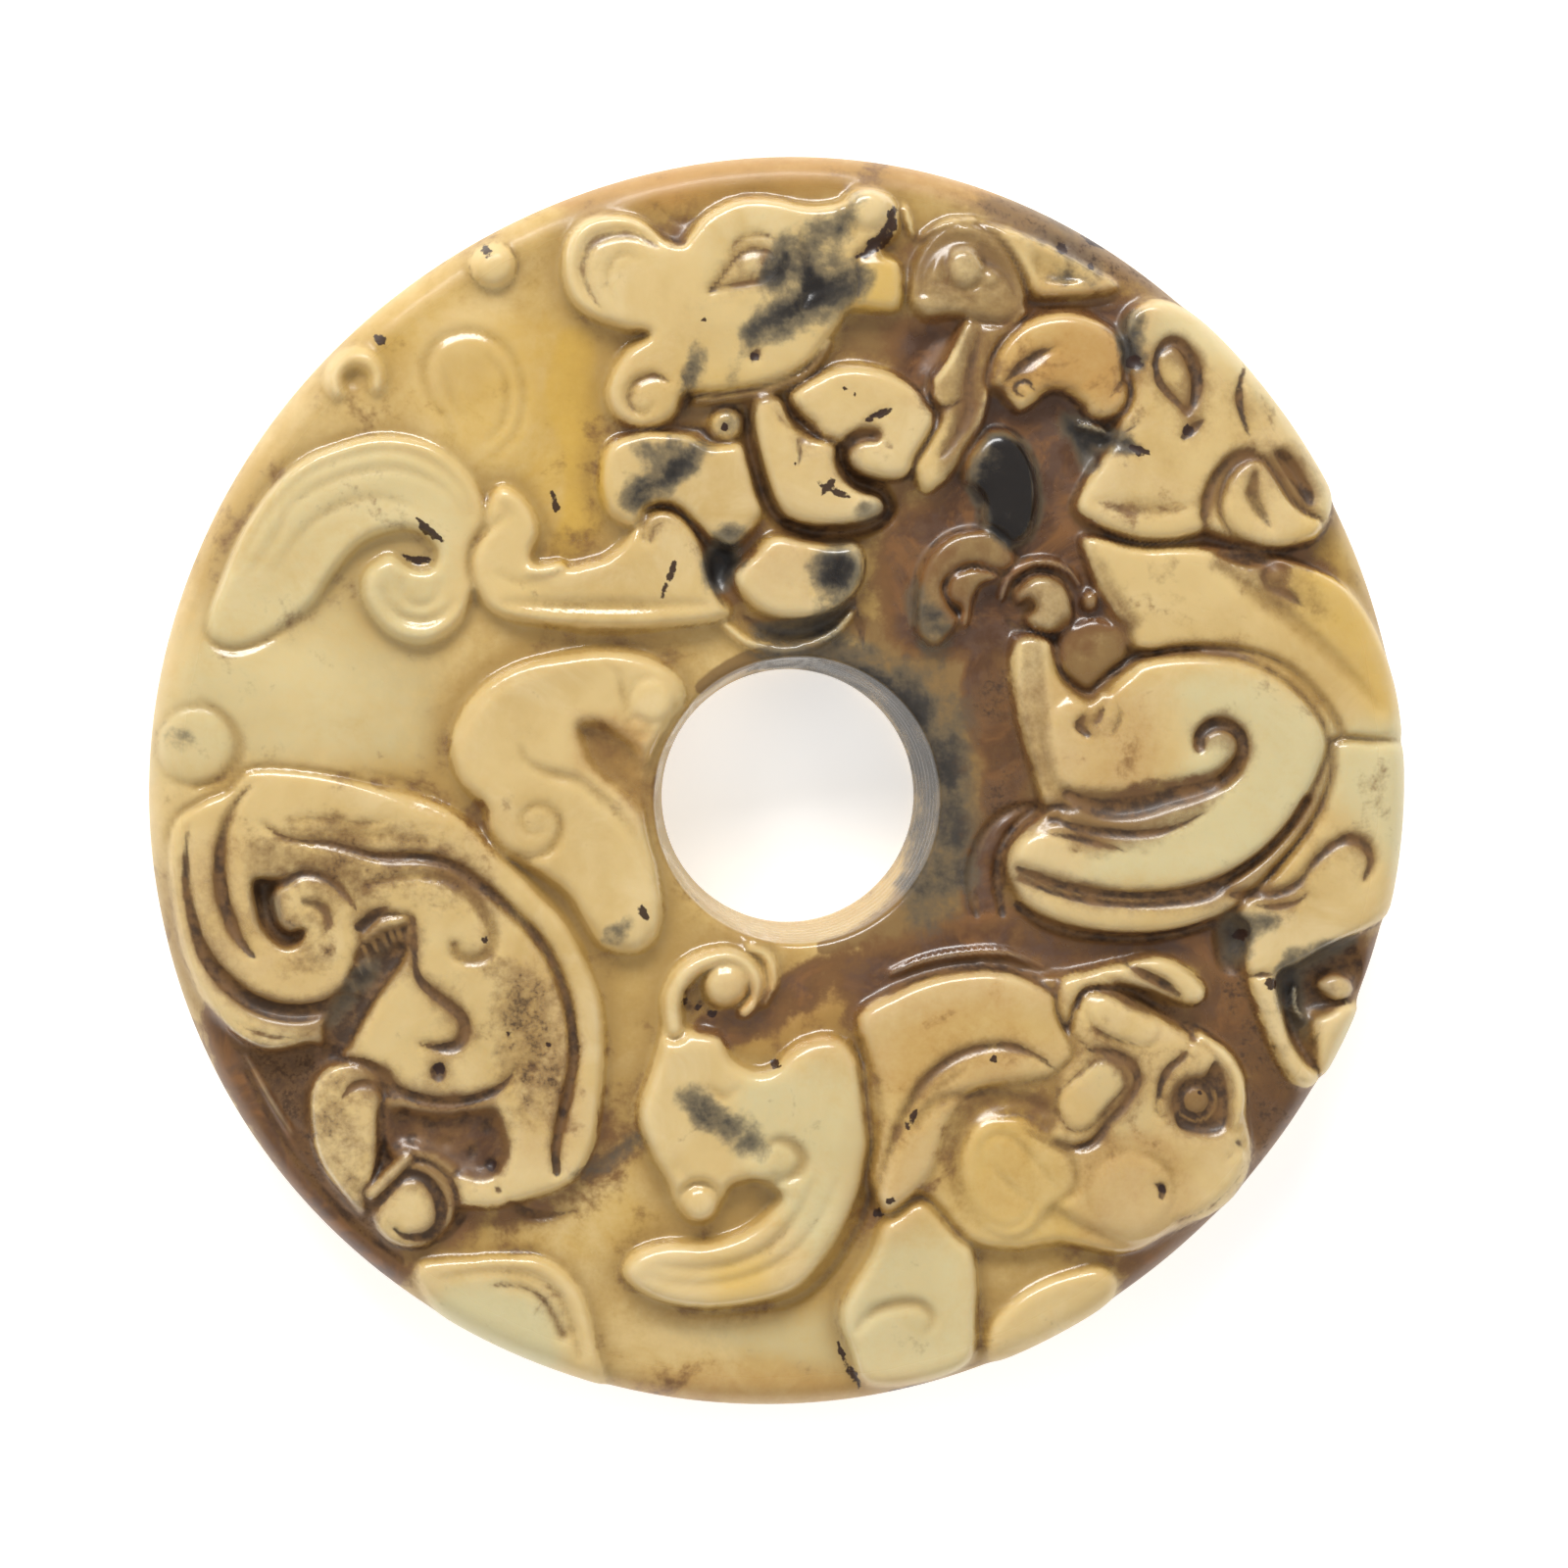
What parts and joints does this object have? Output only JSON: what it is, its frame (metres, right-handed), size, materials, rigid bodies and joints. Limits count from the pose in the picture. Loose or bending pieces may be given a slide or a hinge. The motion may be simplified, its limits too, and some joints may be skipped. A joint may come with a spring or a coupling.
{
  "type": "jade bi disc",
  "caption": "Round jade disc with a slightly off-centre hole, flat on the back and carved on the front with coiling dragons and beast heads in relief.",
  "frame": {"origin": "centre of the disc's bounding box, on the plane of its flat back", "axes": "+Z out of the carved face, +Y towards the top of the carving as it is seen, +X to the right"},
  "size_m": [0.0563, 0.056, 0.0067],
  "materials": {
    "jade": "waxy polish with brown burial staining in the cut-back ground"
  },
  "bodies": {
    "root": {"jade_disc": "jade"}
  },
  "joints": []
}
